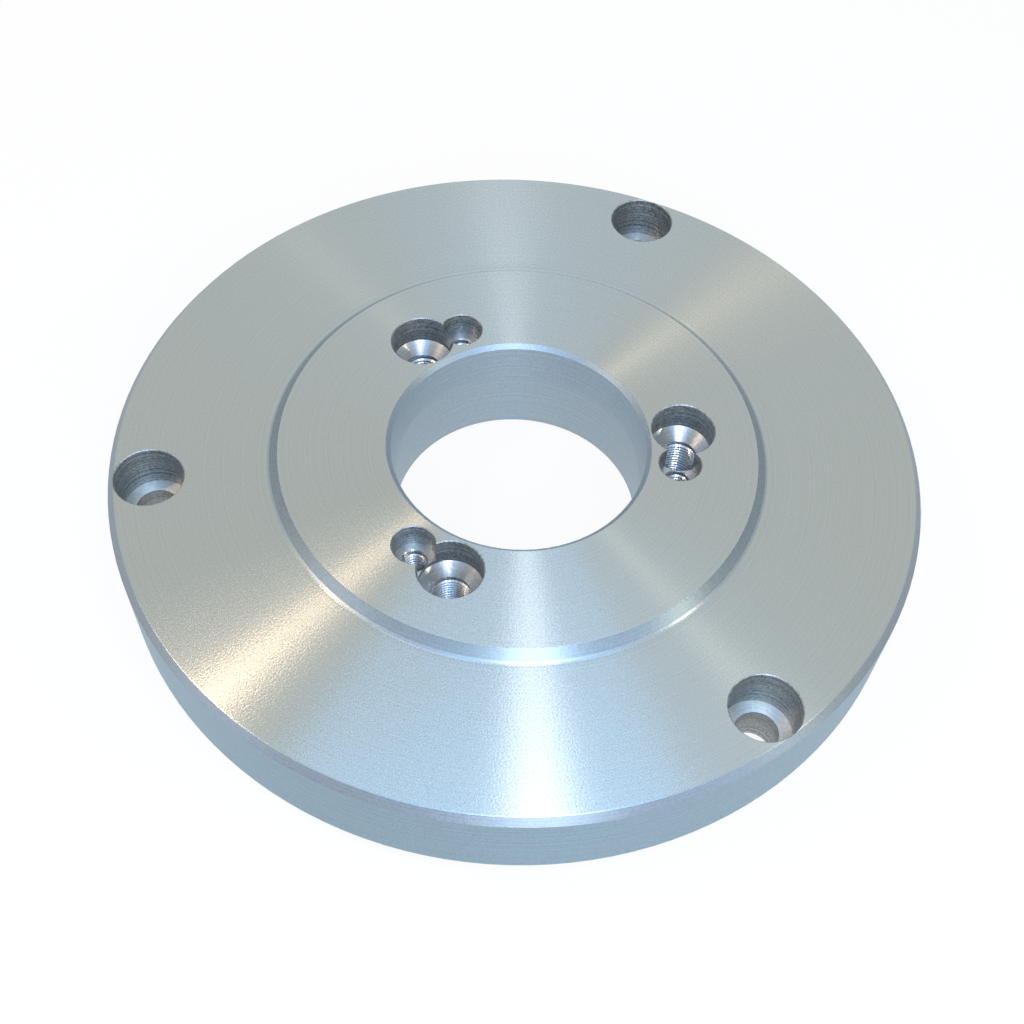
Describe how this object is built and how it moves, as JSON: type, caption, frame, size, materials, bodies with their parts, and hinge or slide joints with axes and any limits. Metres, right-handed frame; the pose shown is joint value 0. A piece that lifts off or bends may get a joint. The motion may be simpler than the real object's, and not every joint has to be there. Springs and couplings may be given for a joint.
{
  "type": "chuck backplate",
  "caption": "Round steel lathe chuck backplate: raised spindle boss with a short taper bore, camlock stud sockets with lock-screw holes, and counterbored chuck screw holes.",
  "frame": {"origin": "centre of the front register face, on which the plate lies", "axes": "+Z along the spindle axis towards the spindle side with the boss and stud sockets; +Y through the first stud socket"},
  "size_m": [0.2, 0.2, 0.03],
  "materials": {
    "turned_steel": "fine turned steel, concentric tool lines"
  },
  "bodies": {
    "root": {"backplate": "turned_steel"}
  },
  "joints": []
}
